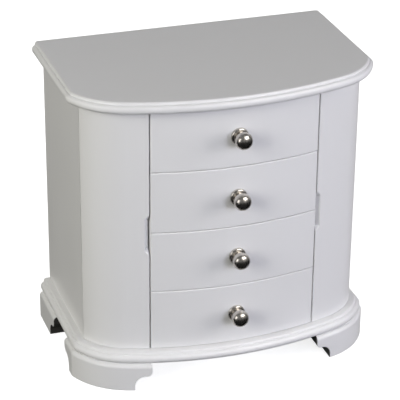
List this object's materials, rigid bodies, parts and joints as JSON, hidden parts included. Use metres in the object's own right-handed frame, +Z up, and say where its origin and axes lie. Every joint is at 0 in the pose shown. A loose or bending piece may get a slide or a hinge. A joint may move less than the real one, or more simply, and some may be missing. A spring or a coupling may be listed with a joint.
{
  "type": "jewelry armoire",
  "caption": "Tabletop jewelry armoire with a bow front, ball-knob drawers, curved side doors, a lift-up moulded lid over a ring well, and scroll-cut bracket feet.",
  "frame": {"origin": "centre of the bounding box, on the plane the feet stand on", "axes": "+X to the right seen from the front, +Y to the back (the front faces -Y), +Z up"},
  "size_m": [0.3406, 0.2276, 0.3347],
  "materials": {
    "white_paint": "satin white paint on board",
    "inner_board": "satin white paint, lined inside",
    "knob_nickel": "satin nickel plating",
    "steel": "zinc plated steel",
    "brass": "plated brass, slightly dulled",
    "mirror_glass": "silvered glass",
    "plush": "short-pile plush over foam",
    "catch_body": "moulded magnetic catch"
  },
  "bodies": {
    "case": {"back_panel": "inner_board", "base_board": "white_paint", "catch_magnets": "catch_body", "door_pivot_bushes": "brass", "drawer_shelves": "inner_board", "foot_front_left": "white_paint", "foot_front_right": "white_paint", "foot_rear_left": "white_paint", "foot_rear_right": "white_paint", "lid_hinge_leaves_case": "brass", "lid_hinge_screws_case": "brass", "partition_left": "inner_board", "partition_right": "inner_board", "ring_rolls": "plush", "side_panel_left": "white_paint", "side_panel_right": "white_paint", "top_frame": "white_paint", "well_dividers": "inner_board", "well_floor": "inner_board", "well_rail": "inner_board"},
    "lid": {"lid_hinge_leaves_lid": "brass", "lid_hinge_pins": "brass", "lid_hinge_screws_lid": "brass", "lid_mirror": "mirror_glass", "lid_panel": "white_paint"},
    "door_left": {"door_panel_left": "white_paint", "door_pivot_pins_left": "steel", "door_strike_left": "steel", "hook_rail_left": "white_paint", "necklace_hooks_left": "brass"},
    "door_right": {"door_panel_right": "white_paint", "door_pivot_pins_right": "steel", "door_strike_right": "steel", "hook_rail_right": "white_paint", "necklace_hooks_right": "brass"},
    "drawer_1": {"drawer_back_1": "inner_board", "drawer_bottom_1": "inner_board", "drawer_front_1": "white_paint", "drawer_knob_1": "knob_nickel", "drawer_sides_1": "inner_board", "knob_screw_1": "steel"},
    "drawer_2": {"drawer_back_2": "inner_board", "drawer_bottom_2": "inner_board", "drawer_front_2": "white_paint", "drawer_knob_2": "knob_nickel", "drawer_sides_2": "inner_board", "knob_screw_2": "steel"},
    "drawer_3": {"drawer_back_3": "inner_board", "drawer_bottom_3": "inner_board", "drawer_front_3": "white_paint", "drawer_knob_3": "knob_nickel", "drawer_sides_3": "inner_board", "knob_screw_3": "steel"},
    "drawer_4": {"drawer_back_4": "inner_board", "drawer_bottom_4": "inner_board", "drawer_front_4": "white_paint", "drawer_knob_4": "knob_nickel", "drawer_sides_4": "inner_board", "knob_screw_4": "steel"}
  },
  "joints": [
    {"name": "lid_hinge", "type": "hinge", "parent": "case", "child": "lid", "pos_m": [0, 0.11185, 0.32785], "axis": [-1, 0, 0], "range_deg": [0, 95]},
    {"name": "drawer_1_slide", "type": "slide", "parent": "case", "child": "drawer_1", "axis": [0, -1, 0], "range_m": [0, 0.115]},
    {"name": "drawer_2_slide", "type": "slide", "parent": "case", "child": "drawer_2", "axis": [0, -1, 0], "range_m": [0, 0.115]},
    {"name": "drawer_3_slide", "type": "slide", "parent": "case", "child": "drawer_3", "axis": [0, -1, 0], "range_m": [0, 0.115]},
    {"name": "drawer_4_slide", "type": "slide", "parent": "case", "child": "drawer_4", "axis": [0, -1, 0], "range_m": [0, 0.115]},
    {"name": "door_left_hinge", "type": "hinge", "parent": "case", "child": "door_left", "pos_m": [-0.14794, -0.04281, 0.0432], "axis": [0, 0, -1], "range_deg": [0, 120]},
    {"name": "door_right_hinge", "type": "hinge", "parent": "case", "child": "door_right", "pos_m": [0.14794, -0.04281, 0.0432], "axis": [0, 0, 1], "range_deg": [0, 120]}
  ]
}
